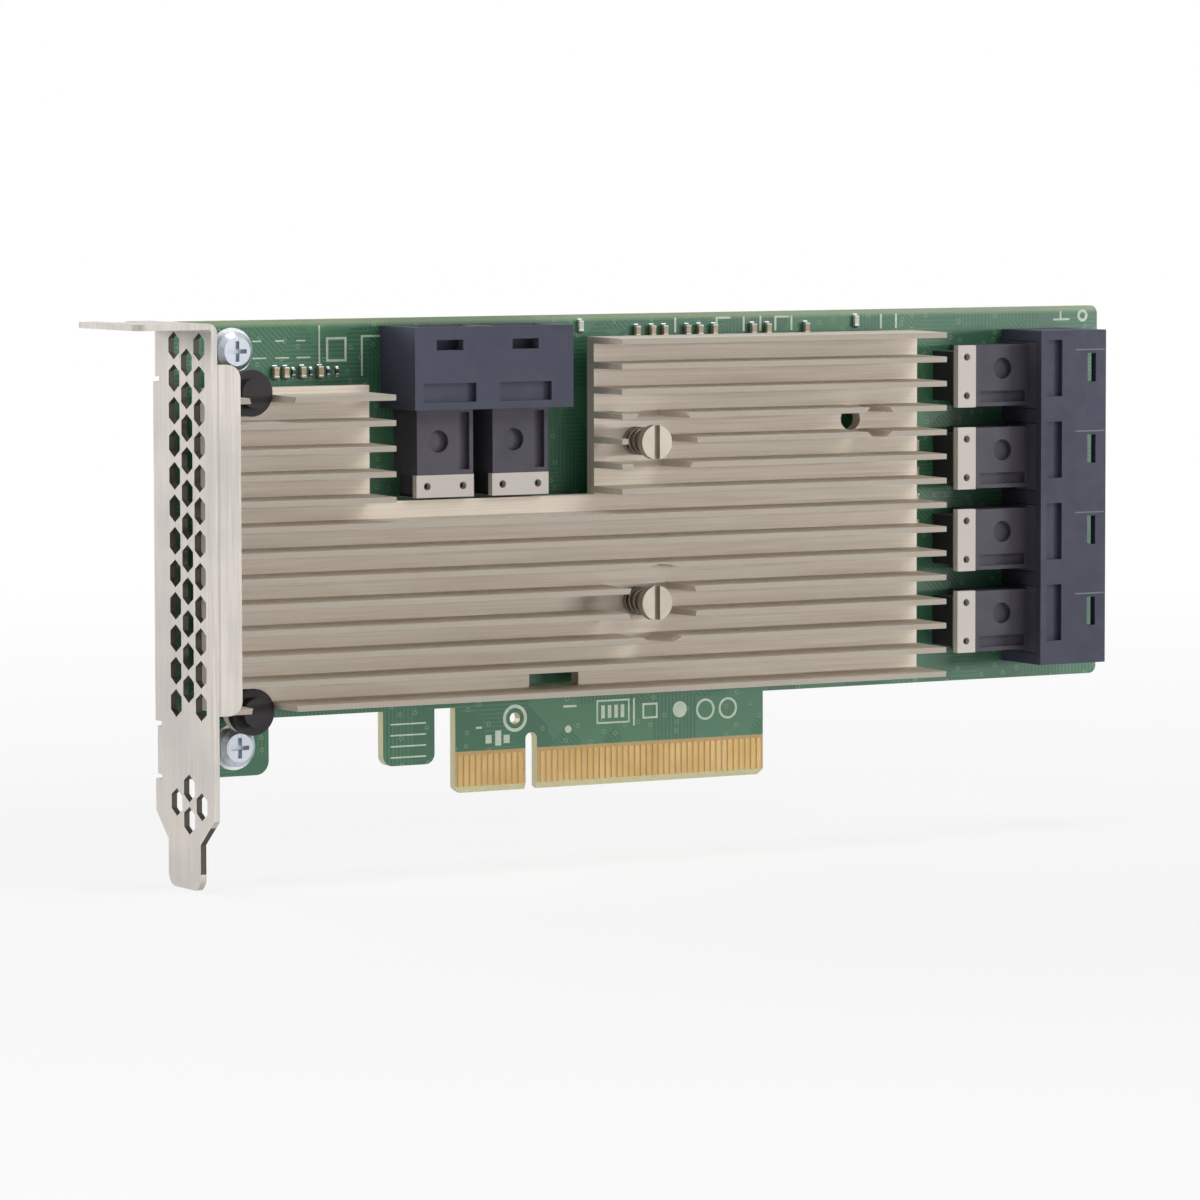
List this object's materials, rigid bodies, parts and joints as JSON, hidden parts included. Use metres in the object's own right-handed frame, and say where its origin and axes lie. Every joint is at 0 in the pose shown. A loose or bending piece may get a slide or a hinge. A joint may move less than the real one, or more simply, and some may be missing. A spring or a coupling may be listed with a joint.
{
  "type": "raid controller card",
  "caption": "Low-profile raid controller card with a green board, finned heat sink, vented steel bracket, gold edge contacts and drive ports on its top and free end.",
  "frame": {"origin": "centre of the key notch on the lowest edge of the contact tab, in the middle of the board's thickness", "axes": "+X along the board from the bracket to the free end, +Y out of the solder side, +Z from the contact tab to the top edge"},
  "size_m": [0.1702, 0.0191, 0.0792],
  "materials": {
    "board_green": "satin solder mask",
    "contact_gold": "gold-plated",
    "bracket_steel": "dull nickel-plated sheet",
    "screw_steel": "zinc-plated",
    "sink_aluminium": "satin champagne anodised",
    "pin_brass": "dull nickel-plated",
    "spring_steel": "satin",
    "rivet_plastic": "moulded black",
    "substrate_green": "satin laminate",
    "lid_nickel": "satin nickel",
    "thermal_grey": "soft gap filler",
    "port_slate": "moulded slate grey",
    "organizer_white": "moulded off-white",
    "capacitor_ceramic": "sintered ceramic with tinned ends",
    "resistor_black": "glazed film with tinned ends",
    "lamp_clear": "clear moulded lens",
    "coil_grey": "pressed iron powder",
    "package_black": "moulded black epoxy",
    "crystal_can": "satin metal can"
  },
  "bodies": {
    "root": {"circuit_board": "board_green", "edge_contacts_component_side": "contact_gold", "edge_contacts_solder_side": "contact_gold", "io_bracket": "bracket_steel", "bracket_screws": "screw_steel", "heat_sink": "sink_aluminium", "sink_spring_pins": "pin_brass", "sink_pin_springs": "spring_steel", "corner_rivets": "rivet_plastic", "controller_substrate": "substrate_green", "controller_lid": "lid_nickel", "thermal_pad": "thermal_grey", "top_port_shell": "port_slate", "side_port_shell": "port_slate", "top_port_contact_carriers": "port_slate", "side_port_contact_carriers": "port_slate", "top_port_tail_organizers": "organizer_white", "side_port_tail_organizers": "organizer_white", "top_port_contacts": "contact_gold", "side_port_contacts": "contact_gold", "capacitors_component_side": "capacitor_ceramic", "capacitors_solder_side": "capacitor_ceramic", "resistors_component_side": "resistor_black", "resistors_solder_side": "resistor_black", "status_lamps": "lamp_clear", "power_inductors": "coil_grey", "voltage_regulators": "package_black", "flash_memory": "package_black", "settings_memory": "package_black", "sense_chip": "package_black", "clock_crystal": "crystal_can"}
  },
  "joints": []
}
